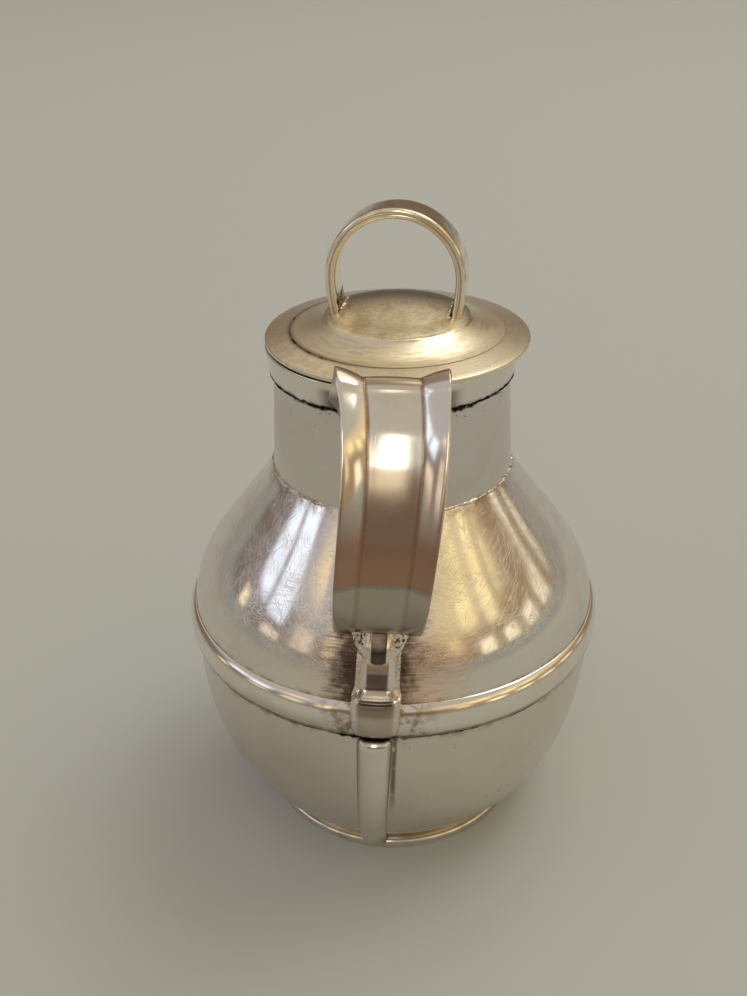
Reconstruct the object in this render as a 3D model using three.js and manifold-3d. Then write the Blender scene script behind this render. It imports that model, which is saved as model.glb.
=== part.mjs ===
// Lidded silver cream jug of milk-can form, in millimetres, +Z up.
// The origin is the middle of the jug's footprint box, on the surface that the jug stands on.
// The handle lies on the -Y side.

import {
    Box3,
    BufferAttribute,
    BufferGeometry,
    CatmullRomCurve3,
    Color,
    CubicBezierCurve,
    ExtrudeGeometry,
    Group,
    LatheGeometry,
    MathUtils,
    Mesh,
    MeshStandardMaterial,
    QuadraticBezierCurve,
    Shape,
    Vector2,
    Vector3,
} from 'three';
import { mergeVertices } from 'three/addons/utils/BufferGeometryUtils.js';
import Module from 'manifold-3d';

// Body: two raised halves that meet at the belly line
const bodyWall = 0.9;
const bellyRadius = 27.9;
const bellyHeight = 31.0;
const bowlBaseRadius = 15.6;
const bowlBaseHeight = 0.9;
const bowlBaseAngle = 34;
const bowlBasePull = 9.4;
const bowlBellyPull = 16.5;
const shoulderBellyPull = 8.8;
const shoulderNeckPull = 14.5;
const shoulderNeckAngle = 56;

// Neck and the ring round its top
const neckBaseRadius = 15.86;
const neckBaseHeight = 53.4;
const neckTopRadius = 15.05;
const neckTopHeight = 70.3;
const neckWall = 0.8;
const collarHeight = 3.6;
const collarTopProud = 1.25;
const collarBaseProud = 0.5;
const collarEdgeRound = 0.35;

// Moulding over the belly joint
const bandHeight = 5.1;
const bandProud = 0.75;

// Foot ring
const footRadius = 18.1;
const footWidth = 1.7;
const footHeight = 1.3;
const footRoll = 0.45;

// Applied pieces below the handle. They lean, low end to -X, as they were soldered.
const strapLeanAngle = 2.4;
const strapLeanCentre = 34.5;
const tabAboveBand = 4.75;
const tabLength = 6.7;
const tabWidth = 8.1;
const tabThickness = 1.5;
const tabEdgeThickness = 0.7;
const tabBottomRound = 3.6;
const tabTopRound = 1.6;
const tabEndFullness = 0.06;
const bridgeUnderTab = 2.3;
const bridgeEndLift = 0.45;
const bridgeWidth = 5.8;
const bridgeFoldWidth = 6.3;
const bridgeEndWidth = 5.2;
const bridgeFaceWidth = 3.1;
const bridgeFoldFaceWidth = 3.7;
const bridgeEndFaceWidth = 4.0;
const bridgeFoldAboveBand = 0.1;
const bridgeFoldBelowBand = 0.5;
const bridgeSwellAboveFold = 1.05;
const bridgeSlopeLift = 1.3;
const bridgeThickness = 1.1;
const bridgeSwellThickness = 1.2;
const bridgeFoldThickness = 1.7;
const bridgeKneeThickness = 1.55;
const bridgeSlopeThickness = 0.8;
const bridgeEndThickness = 0.45;
const backStrapWidth = 4.5;
const backStrapEndWidth = 3.4;
const backStrapThickness = 1.45;
const backStrapEndThickness = 1.0;
const backStrapBottom = 0.9;

// Handle strap: flat panel between two raised sloping flanges
const handleTopWidth = 12.9;
const handleEndWidth = 10.3;
const handleRootFlare = 0.7;
const handleEndTaper = 1.4;
const handleTopPanel = 6.7;
const handleEndPanel = 5.3;
const handleThickness = 1.1;
const handleFlangeRise = 1.45;
const handleRiseStart = 1.73;
const handleRiseEnd = 9.86;
const handleEdge = 1.0;
const handleInnerSpread = 0.44;
const handleRootHeight = 2.7;
const handleRootLength = 2.16;
const handleRootLean = 0.3;
const handleRootPad = 2.4;
const handleCrestRadius = 2.0;
const handleCrestAngles = [165, 135, 110, 85, 60];
const handleCrestHeight = 73.15;
const handleEndFlange = 0.4;
const handleFadeLength = 3.2;
const handleSideBow = 2.3;
const handleBowSkew = 0.56;
const handleShoulderReach = 25.7;
const handleShoulderHeight = 68.1;
const handleUpperReach = 28.6;
const handleUpperHeight = 62.7;
const handleLowerReach = 31.0;
const handleLowerHeight = 55.5;
const handleHeelReach = 31.4;
const handleHeelHeight = 50.6;
const handleTurnReach = 29.3;
const handleTurnHeight = 45.4;
const handleEndReach = 23.6;
const handleEndHeight = 41.7;

// Lid: conical plate, raised centre, plug ring below and loop above
const lidRadius = 16.9;
const lidEdgeThickness = 0.6;
const lidPlateAngle = 11;
const lidSheet = 0.75;
const centreRadius = 13.6;
const centreRise = 1.75;
const slopeHollow = 0.35;
const slopeTurnRadius = 10.55;
const domeRadius = 9.25;
const domeRise = 1.75;
const bezelDepth = 5.5;
const bezelWall = 0.7;
const bezelClearance = 1.05;
const lidShift = 0.7;
const lidTurn = -4;
const loopRadius = 8.1;
const loopThickness = 1.3;
const loopWidth = 4.9;
const loopTop = 87.6;
const loopFootSpread = 7.4;
const loopEdgeRound = 0.3;

// Clearances: soldered joints, and seats of pieces that are cut to their neighbour
const solderGap = 0.08;
const seatGap = 0.3;

// Resolution of the round forms
const turnSteps = 56;
const bowlSteps = 11;
const shoulderSteps = 9;
const slopeSteps = 4;
const domeSteps = 5;
const bandSteps = 8;
const rollSteps = 3;
const handleSteps = 44;
const strapSteps = 14;
const loopSteps = 26;
const legSteps = 4;
const baseSteps = 3;
const crownSteps = 7;

const wasm = await Module();
wasm.setup();

const radians = MathUtils.degToRad;

// Signed volume of a closed indexed geometry, positive when its faces point out
function signedVolume(geometry) {
    const position = geometry.attributes.position;
    const a = new Vector3();
    const b = new Vector3();
    const c = new Vector3();
    let volume = 0;
    for (let i = 0; i < geometry.index.count; i += 3) {
        a.fromBufferAttribute(position, geometry.index.getX(i));
        b.fromBufferAttribute(position, geometry.index.getX(i + 1));
        c.fromBufferAttribute(position, geometry.index.getX(i + 2));
        volume += a.dot(b.cross(c)) / 6;
    }
    return volume;
}

// One closed body with shared vertices and its faces pointing out
function closedBody(geometry) {
    geometry.deleteAttribute('normal');
    geometry.deleteAttribute('uv');
    const merged = mergeVertices(geometry);
    if (signedVolume(merged) < 0) {
        merged.index.array.reverse();
    }
    merged.computeVertexNormals();
    return merged;
}

function toSolid(geometry) {
    const body = closedBody(geometry);
    return new wasm.Manifold(new wasm.Mesh({
        numProp: 3,
        vertProperties: new Float32Array(body.attributes.position.array),
        triVerts: new Uint32Array(body.index.array),
    }));
}

function fromSolid(solid) {
    const mesh = solid.getMesh();
    const geometry = new BufferGeometry();
    geometry.setAttribute('position', new BufferAttribute(new Float32Array(mesh.vertProperties), 3));
    geometry.setIndex(new BufferAttribute(new Uint32Array(mesh.triVerts), 1));
    return closedBody(geometry);
}

// Turns a profile of (radius, height) points about Z
function turned(points) {
    const geometry = new LatheGeometry(points, turnSteps);
    geometry.rotateX(Math.PI / 2);
    return closedBody(geometry);
}

// A closed profile made of an outer and an inner side, both drawn upward
function shellProfile(outer, inner) {
    return [...outer, ...inner.slice().reverse(), outer[0]];
}

// Points of an outline moved sideways: positive moves them away from the axis of a rising outline
function offsetOutline(points, distance) {
    return points.map((point, i) => {
        const before = points[Math.max(i - 1, 0)];
        const after = points[Math.min(i + 1, points.length - 1)];
        const along = after.clone().sub(before).normalize();
        return new Vector2(point.x + along.y * distance, point.y - along.x * distance);
    });
}

// Radius of a rising outline at a height
function radiusAt(outline, height) {
    const above = outline.findIndex((point) => point.y >= height);
    if (above < 1) {
        return above === 0 ? outline[0].x : outline[outline.length - 1].x;
    }
    const low = outline[above - 1];
    const high = outline[above];
    return MathUtils.mapLinear(height, low.y, high.y, low.x, high.x);
}

// Skins a row of rings and closes both ends. A ring has an even number of points: one side of its
// section, then the other side back, so that each end closes as a strip between its two sides.
function skinned(rings) {
    const count = rings[0].length;
    const positions = rings.flat().flatMap((point) => point.toArray());
    const index = [];
    for (let i = 0; i < rings.length - 1; i += 1) {
        for (let j = 0; j < count; j += 1) {
            const a = i * count + j;
            const b = i * count + (j + 1) % count;
            index.push(a, b, b + count, a, b + count, a + count);
        }
    }
    const last = (rings.length - 1) * count;
    for (let j = 0; j < count / 2 - 1; j += 1) {
        const [a, b, c, d] = [j, j + 1, count - 2 - j, count - 1 - j];
        index.push(a, c, b, a, d, c);
        index.push(last + a, last + b, last + c, last + a, last + c, last + d);
    }
    const geometry = new BufferGeometry();
    geometry.setAttribute('position', new BufferAttribute(new Float32Array(positions), 3));
    geometry.setIndex(index);
    return closedBody(geometry);
}

// Outer outline of the body, from the bowl's base to the neck
const bowlCurve = new CubicBezierCurve(
    new Vector2(bowlBaseRadius, bowlBaseHeight),
    new Vector2(
        bowlBaseRadius + bowlBasePull * Math.cos(radians(bowlBaseAngle)),
        bowlBaseHeight + bowlBasePull * Math.sin(radians(bowlBaseAngle)),
    ),
    new Vector2(bellyRadius, bellyHeight - bowlBellyPull),
    new Vector2(bellyRadius, bellyHeight),
);
const shoulderCurve = new CubicBezierCurve(
    new Vector2(bellyRadius, bellyHeight),
    new Vector2(bellyRadius, bellyHeight + shoulderBellyPull),
    new Vector2(
        neckBaseRadius + shoulderNeckPull * Math.cos(radians(shoulderNeckAngle)),
        neckBaseHeight - shoulderNeckPull * Math.sin(radians(shoulderNeckAngle)),
    ),
    new Vector2(neckBaseRadius, neckBaseHeight),
);
const bowlOutline = bowlCurve.getPoints(bowlSteps);
const shoulderOutline = shoulderCurve.getPoints(shoulderSteps);
const bodyOutline = [...bowlOutline, ...shoulderOutline.slice(1)];
const neckOutline = [
    new Vector2(neckBaseRadius, neckBaseHeight),
    new Vector2(neckTopRadius, neckTopHeight),
];

const bandBottom = bellyHeight - bandHeight / 2;
const bandTop = bellyHeight + bandHeight / 2;

// Outer face of the belly moulding: half an ellipse over the joint
const bandOutline = Array.from({ length: bandSteps + 1 }, (_, i) => {
    const angle = Math.PI * (i / bandSteps - 0.5);
    return new Vector2(
        bellyRadius + bandProud * Math.cos(angle),
        bellyHeight + bandHeight / 2 * Math.sin(angle),
    );
});

function lowerBowl() {
    const outer = [new Vector2(0, bowlBaseHeight), ...bowlOutline];
    const inner = [
        new Vector2(0, bowlBaseHeight + bodyWall),
        ...offsetOutline(bowlOutline.slice(0, -1), -bodyWall),
        new Vector2(bellyRadius - bodyWall, bellyHeight),
    ];
    return turned([...outer, ...inner.slice().reverse()]);
}

function shoulder() {
    const inner = [
        new Vector2(bellyRadius - bodyWall, bellyHeight),
        ...offsetOutline(shoulderOutline, -bodyWall).slice(1, -1),
        new Vector2(neckBaseRadius - neckWall - solderGap, neckBaseHeight),
    ];
    return turned(shellProfile(shoulderOutline, inner));
}

function bellyBand() {
    const inner = [bandBottom, bellyHeight, bandTop].map((height) => {
        return new Vector2(radiusAt(bodyOutline, height) + solderGap, height);
    });
    return turned(shellProfile(bandOutline.slice(1, -1), inner));
}

function neckTube() {
    return turned(shellProfile(neckOutline, offsetOutline(neckOutline, -neckWall).map((point, i) => {
        return new Vector2(point.x, neckOutline[i].y);
    })));
}

function rimCollar() {
    const base = neckTopHeight - collarHeight;
    const topRadius = neckTopRadius + collarTopProud;
    const baseRadius = radiusAt(neckOutline, base) + collarBaseProud;
    const outer = [
        new Vector2(baseRadius, base),
        new Vector2(topRadius, neckTopHeight - collarEdgeRound),
        new Vector2(topRadius - collarEdgeRound, neckTopHeight),
    ];
    const inner = [
        new Vector2(radiusAt(neckOutline, base) + solderGap, base),
        new Vector2(neckTopRadius + solderGap, neckTopHeight),
    ];
    return turned(shellProfile(outer, inner));
}

function footRing() {
    const innerRadius = footRadius - footWidth;
    const roll = Array.from({ length: rollSteps + 1 }, (_, i) => {
        const angle = Math.PI / 2 * (i / rollSteps - 1);
        return new Vector2(
            footRadius - footRoll + footRoll * Math.cos(angle),
            footRoll + footRoll * Math.sin(angle),
        );
    });
    const underBowl = (radius) => bowlBaseHeight - solderGap
        + Math.max(radius - bowlBaseRadius, 0) * Math.tan(radians(bowlBaseAngle));
    const shelfRadius = footRadius - footRoll;
    const outer = [
        ...roll,
        new Vector2(shelfRadius, Math.min(footHeight, underBowl(shelfRadius))),
    ];
    const inner = [
        new Vector2(innerRadius, 0),
        new Vector2(innerRadius, Math.min(footHeight, underBowl(innerRadius))),
    ];
    return turned(shellProfile(outer, inner));
}

// Sideways place of the applied pieces at a height
function leanShift(height) {
    return (height - strapLeanCentre) * Math.tan(radians(strapLeanAngle));
}

// A piece laid on a turned seat. Each station has a height, the seat's radius there and a section of
// (sideways, outward) points; the section's base follows the round seat.
function appliedPiece(stations) {
    const rings = stations.map((station, i) => {
        const before = stations[Math.max(i - 1, 0)];
        const after = stations[Math.min(i + 1, stations.length - 1)];
        const along = new Vector2(after.radius - before.radius, after.height - before.height).normalize();
        const outward = Math.abs(along.y);
        const upward = -along.x * Math.sign(along.y);
        const seat = station.radius + seatGap;
        return station.section.map((point) => {
            const x = leanShift(station.height) + point.x;
            const y = -Math.sqrt(seat * seat - x * x);
            return new Vector3(
                x + x / seat * outward * point.y,
                y + y / seat * outward * point.y,
                station.height + upward * point.y,
            );
        });
    });
    return skinned(rings);
}

// Base points of a section, from +X to -X, so that the base can follow a round seat
function sectionBase(halfWidth, level) {
    return Array.from({ length: baseSteps + 1 }, (_, i) => {
        return new Vector2(halfWidth * (1 - 2 * i / baseSteps), level);
    });
}

// Section with a rounded back: upright edges and a crown between them
function crownedSection(halfWidth, edge, thickness, base = 0) {
    const crown = Array.from({ length: crownSteps + 1 }, (_, i) => {
        const angle = Math.PI * (1 - i / crownSteps);
        return new Vector2(halfWidth * Math.cos(angle), edge + (thickness - edge) * Math.sin(angle));
    });
    return [...sectionBase(halfWidth, base), ...crown];
}

// Section with a flat face and bevelled sides
function bevelledSection(halfWidth, halfFace, thickness) {
    return [
        ...sectionBase(halfWidth, 0),
        new Vector2(-halfFace, thickness),
        new Vector2(halfFace, thickness),
    ];
}

// Shield-shaped plate: full width above, rounded to its lower end. A margin makes the cutter that
// clears its neighbour.
function handleTab(margin) {
    const low = bandTop + tabAboveBand - margin;
    const high = bandTop + tabAboveBand + tabLength + margin;
    return appliedPiece(Array.from({ length: strapSteps + 1 }, (_, i) => {
        const height = MathUtils.lerp(low, high, i / strapSteps);
        const fromEnd = Math.min((height - low) / tabBottomRound, (high - height) / tabTopRound, 1);
        const fullness = Math.sqrt(Math.max(1 - (1 - fromEnd) ** 2, tabEndFullness));
        const halfWidth = (tabWidth / 2 + margin) * fullness;
        return {
            height,
            radius: radiusAt(bodyOutline, height),
            section: crownedSection(halfWidth, tabEdgeThickness + margin, tabThickness + margin, -margin),
        };
    }));
}

// Bevelled strap that steps out over the belly moulding
function bandBridge() {
    const top = bandTop + tabAboveBand + bridgeUnderTab;
    const fold = bandTop + bridgeFoldAboveBand;
    const swell = fold + bridgeSwellAboveFold;
    const knee = bandTop - bridgeFoldBelowBand;
    const rows = [
        [top, bridgeWidth, bridgeFaceWidth, bridgeThickness],
        [MathUtils.lerp(top, swell, 0.5), bridgeWidth, bridgeFaceWidth, bridgeThickness],
        [swell, bridgeWidth, bridgeFaceWidth, bridgeSwellThickness],
        [fold, bridgeFoldWidth, bridgeFoldFaceWidth, bridgeFoldThickness],
        [knee, bridgeFoldWidth, bridgeFoldFaceWidth, bridgeKneeThickness],
        [bellyHeight, bridgeFoldWidth, bridgeFoldFaceWidth, bridgeThickness],
        [bandBottom + bridgeSlopeLift, bridgeFoldWidth, bridgeFoldFaceWidth, bridgeSlopeThickness],
        [bandBottom + bridgeEndLift, bridgeEndWidth, bridgeEndFaceWidth, bridgeEndThickness],
    ];
    return appliedPiece(rows.map(([height, width, face, thickness]) => ({
        height,
        radius: Math.max(radiusAt(bodyOutline, height), bandRadius(height)),
        section: bevelledSection(width / 2, face / 2, thickness),
    })));
}

function bandRadius(height) {
    const across = (height - bellyHeight) / (bandHeight / 2);
    return Math.abs(across) < 1 ? bellyRadius + bandProud * Math.sqrt(1 - across * across) : 0;
}

// Half-round strap from under the moulding to the foot, over the foot ring's edge
function backStrap() {
    const top = bandBottom - seatGap;
    return appliedPiece(Array.from({ length: strapSteps + 1 }, (_, i) => {
        const fraction = i / strapSteps;
        const height = MathUtils.lerp(backStrapBottom, top, fraction);
        const width = MathUtils.lerp(backStrapEndWidth, backStrapWidth, fraction);
        const thickness = MathUtils.lerp(backStrapEndThickness, backStrapThickness, fraction);
        return {
            height,
            radius: Math.max(radiusAt(bodyOutline, height), footRadius),
            section: crownedSection(width / 2, solderGap, thickness),
        };
    }));
}

// Everything that the handle must stay out of: the body with its tab, the collar, and the lid's way up
function handleKeepOut() {
    const tabReach = offsetOutline(shoulderOutline, tabThickness + 2 * seatGap);
    const collarReach = neckTopRadius + collarTopProud + seatGap;
    const lidReach = lidRadius + lidShift + seatGap;
    const collarTop = neckTopHeight - seatGap;
    const profile = [
        new Vector2(0, bellyHeight),
        ...tabReach,
        new Vector2(collarReach, neckTopHeight - collarHeight),
        new Vector2(collarReach, collarTop),
        new Vector2(lidReach, collarTop),
        new Vector2(lidReach, loopTop),
        new Vector2(0, loopTop),
    ];
    return toSolid(turned(profile));
}

// Outer face of the handle's panel in its own plane, as (reach from the axis, height)
function handleLine() {
    const rootReach = neckTopRadius + collarTopProud + seatGap;
    const crestReach = lidRadius + lidShift + seatGap + handleCrestRadius;
    const rootBottom = neckTopHeight - handleRootHeight;
    const crest = handleCrestAngles.map((degrees) => [
        crestReach + handleCrestRadius * Math.cos(radians(degrees)),
        handleCrestHeight + handleCrestRadius * (Math.sin(radians(degrees)) - 1),
    ]);
    const points = [
        [rootReach + solderGap, rootBottom],
        [rootReach + solderGap + handleRootLean, MathUtils.lerp(rootBottom, neckTopHeight, 0.65)],
        ...crest,
        [handleShoulderReach, handleShoulderHeight],
        [handleUpperReach, handleUpperHeight],
        [handleLowerReach, handleLowerHeight],
        [handleHeelReach, handleHeelHeight],
        [handleTurnReach, handleTurnHeight],
        [handleEndReach, handleEndHeight],
    ];
    return new CatmullRomCurve3(points.map(([reach, height]) => new Vector3(0, -reach, height)));
}

// Section of the strap: outer side from left to right, then the inner side back
function strapSection(width, panel, rise, pad) {
    const half = width / 2;
    const groove = panel / 2;
    const innerGroove = groove + handleInnerSpread;
    return [
        new Vector2(-half, rise + pad),
        new Vector2(-groove, pad),
        new Vector2(groove, pad),
        new Vector2(half, rise + pad),
        new Vector2(half, rise - handleEdge),
        new Vector2(innerGroove, -handleThickness),
        new Vector2(-innerGroove, -handleThickness),
        new Vector2(-half, rise - handleEdge),
    ];
}

// The strap's width and its flanges' rise at a distance along it
function strapForm(travelled, length) {
    const fraction = travelled / length;
    const crestLength = handleRootLength + handleCrestRadius * 2;
    const flare = handleRootFlare * (1 - MathUtils.smoothstep(travelled, crestLength, crestLength * 2));
    const ending = MathUtils.smoothstep(travelled, length - handleFadeLength, length);
    const raised = MathUtils.smoothstep(travelled, handleRiseStart, handleRiseEnd);
    return {
        width: MathUtils.lerp(handleTopWidth, handleEndWidth, fraction) + flare - handleEndTaper * ending,
        panel: MathUtils.lerp(handleTopPanel, handleEndPanel, fraction),
        rise: MathUtils.lerp(handleFlangeRise * raised, handleEndFlange, ending),
        pad: travelled < handleRootLength ? handleRootPad : 0,
    };
}

function handle() {
    const line = handleLine();
    const length = line.getLength();
    const points = line.getSpacedPoints(handleSteps);
    const rings = points.map((point, i) => {
        const before = points[Math.max(i - 1, 0)];
        const after = points[Math.min(i + 1, handleSteps)];
        const along = after.clone().sub(before).normalize();
        const outward = new Vector3(1, 0, 0).cross(along).negate();
        const fraction = i / handleSteps;
        const skewed = fraction * (1 + handleBowSkew * (1 - fraction));
        const sideways = handleSideBow * Math.sin(Math.PI * skewed);
        const { width, panel, rise, pad } = strapForm(fraction * length, length);
        return strapSection(width, panel, rise, pad).map((corner) => {
            return point.clone().addScaledVector(outward, corner.y).setX(sideways + corner.x);
        });
    });
    return fromSolid(toSolid(skinned(rings)).subtract(handleKeepOut()));
}

// Height of the lid plate's upper face at a radius
function plateTop(radius) {
    const edgeTop = neckTopHeight + seatGap + lidEdgeThickness;
    return edgeTop + (lidRadius - radius) * Math.tan(radians(lidPlateAngle));
}

function lidPlate() {
    const holeRadius = centreRadius - lidSheet + solderGap;
    const upper = [holeRadius, lidRadius].map((radius) => new Vector2(radius, plateTop(radius)));
    const lower = [lidRadius, holeRadius].map((radius) => {
        return new Vector2(radius, plateTop(radius) - lidEdgeThickness);
    });
    return turned([...lower, ...upper, lower[0]]);
}

// Outer outline of the raised centre: concave slope, crisp edge, low dome up to the axis
function centreOutline() {
    const foot = plateTop(centreRadius) + solderGap;
    const edge = foot + centreRise;
    const slope = new QuadraticBezierCurve(
        new Vector2(centreRadius, foot),
        new Vector2(slopeTurnRadius, foot + slopeHollow),
        new Vector2(domeRadius, edge),
    ).getPoints(slopeSteps);
    const sphere = (domeRadius ** 2 + domeRise ** 2) / (2 * domeRise);
    const dome = Array.from({ length: domeSteps }, (_, i) => {
        const radius = domeRadius * (1 - (i + 1) / domeSteps);
        return new Vector2(radius, edge + domeRise - sphere + Math.sqrt(sphere ** 2 - radius ** 2));
    });
    return [...slope, ...dome];
}

function lidCentre() {
    const outer = centreOutline();
    const inner = offsetOutline(outer, -lidSheet).slice(1, -1);
    const rimRadius = centreRadius - lidSheet;
    const top = outer[outer.length - 1];
    return turned([
        ...outer,
        new Vector2(0, top.y - lidSheet),
        ...inner.reverse(),
        new Vector2(rimRadius, plateTop(rimRadius) + solderGap),
        outer[0],
    ]);
}

function lidBezel() {
    const outerRadius = neckTopRadius - neckWall - bezelClearance;
    const innerRadius = outerRadius - bezelWall;
    const bottom = neckTopHeight - bezelDepth;
    const top = plateTop(outerRadius) - lidEdgeThickness - solderGap;
    const corners = [[innerRadius, bottom], [outerRadius, bottom], [outerRadius, top], [innerRadius, top]];
    const profile = corners.map(([radius, height]) => new Vector2(radius, height));
    return turned([...profile, profile[0]]);
}

// Horseshoe of flat strap, standing on the raised centre
function lidLoop() {
    const centreHeight = loopTop - loopRadius - loopThickness / 2;
    const legBottom = plateTop(centreRadius) + centreRise;
    const drop = centreHeight - legBottom;
    const inset = loopRadius - loopFootSpread;
    const legRadius = (drop ** 2 + inset ** 2) / (2 * inset);
    const leg = Array.from({ length: legSteps }, (_, i) => {
        const down = drop * (1 - i / legSteps);
        const across = loopRadius - legRadius + Math.sqrt(legRadius ** 2 - down ** 2);
        return new Vector2(-across, centreHeight - down);
    });
    const arch = Array.from({ length: loopSteps + 1 }, (_, i) => {
        const angle = Math.PI * (1 - i / loopSteps);
        return new Vector2(loopRadius * Math.cos(angle), centreHeight + loopRadius * Math.sin(angle));
    });
    const otherLeg = leg.slice().reverse().map((point) => new Vector2(-point.x, point.y));
    const line = [...leg, ...arch, ...otherLeg];
    const outer = offsetOutline(line, -loopThickness / 2);
    const inner = offsetOutline(line, loopThickness / 2);
    const strap = new ExtrudeGeometry(new Shape([...outer, ...inner.reverse()]), {
        depth: loopWidth - 2 * loopEdgeRound,
        bevelEnabled: true,
        bevelThickness: loopEdgeRound,
        bevelSize: loopEdgeRound,
        bevelOffset: -loopEdgeRound,
        bevelSegments: 2,
        curveSegments: 1,
    });
    strap.translate(0, 0, loopEdgeRound - loopWidth / 2);
    strap.rotateX(Math.PI / 2);
    const seat = centreOutline().map((point) => new Vector2(point.x, point.y + seatGap));
    const cutter = turned([new Vector2(0, 0), new Vector2(centreRadius, 0), ...seat]);
    return fromSolid(toSolid(strap).subtract(toSolid(cutter)));
}

function finish(hex, roughness) {
    return { color: new Color(hex), roughness, metalness: 1 };
}

const polished = finish(0xc9c2b4, 0.16);
const brushed = finish(0xb9b2a6, 0.34);
const satin = finish(0xb7ab94, 0.38);
const bright = finish(0xcfc6b2, 0.2);

function piece(name, geometry, look) {
    const mesh = new Mesh(geometry, new MeshStandardMaterial(look));
    mesh.name = name;
    return mesh;
}

const bridge = fromSolid(toSolid(bandBridge()).subtract(toSolid(handleTab(seatGap))));

const lid = new Group();
lid.add(
    piece('lid_bezel', lidBezel(), satin),
    piece('lid_plate', lidPlate(), satin),
    piece('lid_centre', lidCentre(), satin),
    piece('lid_loop', lidLoop(), bright),
);
lid.position.x = lidShift;
lid.rotation.z = radians(lidTurn);

const jug = new Group();
jug.add(
    piece('foot_ring', footRing(), bright),
    piece('lower_bowl', lowerBowl(), polished),
    piece('shoulder', shoulder(), polished),
    piece('belly_band', bellyBand(), bright),
    piece('neck_tube', neckTube(), brushed),
    piece('rim_collar', rimCollar(), brushed),
    piece('back_strap', backStrap(), bright),
    piece('band_bridge', bridge, bright),
    piece('handle_tab', handleTab(0), bright),
    piece('handle', handle(), bright),
    lid,
);

// The origin is the middle of the footprint box
const footprint = new Box3().setFromObject(jug).getCenter(new Vector3());
jug.position.set(-footprint.x, -footprint.y, 0);

const creamJug = new Group();
creamJug.add(jug);
creamJug.updateMatrixWorld(true);

export default creamJug;
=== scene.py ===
"""Looks of a small lidded silver cream jug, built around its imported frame. Lengths are in millimetres."""

import math

import bmesh
import bpy
import numpy as np
from mathutils import Matrix, Vector, noise


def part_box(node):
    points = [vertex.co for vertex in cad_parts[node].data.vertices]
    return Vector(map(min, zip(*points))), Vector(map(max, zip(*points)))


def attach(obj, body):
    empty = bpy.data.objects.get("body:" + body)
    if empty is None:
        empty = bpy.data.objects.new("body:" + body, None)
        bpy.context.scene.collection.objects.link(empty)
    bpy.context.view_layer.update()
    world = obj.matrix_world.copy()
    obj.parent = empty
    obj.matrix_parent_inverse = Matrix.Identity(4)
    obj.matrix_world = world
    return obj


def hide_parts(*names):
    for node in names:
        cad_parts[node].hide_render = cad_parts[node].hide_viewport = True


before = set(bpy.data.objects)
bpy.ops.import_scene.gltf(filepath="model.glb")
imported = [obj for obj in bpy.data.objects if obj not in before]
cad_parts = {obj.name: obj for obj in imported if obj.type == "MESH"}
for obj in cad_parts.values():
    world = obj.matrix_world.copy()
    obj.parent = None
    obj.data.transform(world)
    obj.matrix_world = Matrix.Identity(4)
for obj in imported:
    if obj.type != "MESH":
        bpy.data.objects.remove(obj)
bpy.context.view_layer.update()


# Foot ring
# A drawn silver wire ring with a rolled outer lip, soldered under the bowl. The jug stands on its flat
# underside, and the lip stays bright because cloths and tables rub it.

MM = 0.001
crease_angle = 38


def extent(node):
    """Lowest and highest corner of a node of the frame, in millimetres."""
    low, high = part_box(node)
    return low / MM, high / MM


foot_low, foot_high = extent("foot_ring")
jug_x = (foot_low.x + foot_high.x) / 2
jug_y = (foot_low.y + foot_high.y) / 2
jug_axis = (jug_x, jug_y)
foot_radius = (foot_high.x - foot_low.x) / 2
foot_width = 1.7
foot_lip = 0.5
foot_back_corner = 0.15


def along_edge(first, last, count):
    """Points spaced evenly between two others."""
    return [first.lerp(last, (k + 1) / (count + 1)) for k in range(count)]


def softened(corners, steps, between):
    """Points of a polygon whose corners (x, y, radius) are rounded, with extra points along its edges."""
    points = []
    for i, (x, y, radius) in enumerate(corners):
        here = Vector((x, y))
        back = Vector(corners[i - 1][:2]) - here
        ahead = Vector(corners[(i + 1) % len(corners)][:2]) - here
        half = back.angle(ahead) / 2
        reach = min(radius / math.tan(half), back.length * 0.45, ahead.length * 0.45)
        start = here + back.normalized() * reach
        end = here + ahead.normalized() * reach
        arc = []
        for k in range(steps + 1):
            t = k / steps
            arc.append(start * (1 - t) ** 2 + here * 2 * t * (1 - t) + end * t ** 2)
        if points:
            points.extend(along_edge(points[-1], arc[0], between))
        points.extend(arc)
    return points + along_edge(points[-1], points[0], between)


def piece(name, vertices, faces, finish, body, slot, *nodes, marks=None):
    """Makes a smooth mesh piece, in millimetres, that rides on a body and stands for the nodes it replaces.
    Marks are values of its points that its finish reads."""
    mesh = bpy.data.meshes.new(name)
    mesh.from_pydata([Vector(v) * MM for v in vertices], [], faces)
    for mark, values in (marks or {}).items():
        mesh.attributes.new(mark, "FLOAT", "POINT").data.foreach_set("value", values)
    work = bmesh.new()
    work.from_mesh(mesh)
    bmesh.ops.remove_doubles(work, verts=work.verts, dist=1e-7)
    bmesh.ops.recalc_face_normals(work, faces=work.faces)
    work.to_mesh(mesh)
    work.free()
    mesh.shade_smooth()
    mesh.set_sharp_from_angle(angle=math.radians(crease_angle))
    mesh.materials.append(finish.material)
    thing = bpy.data.objects.new(name, mesh)
    bpy.context.scene.collection.objects.link(thing)
    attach(thing, body)
    if nodes:
        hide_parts(*nodes)


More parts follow.
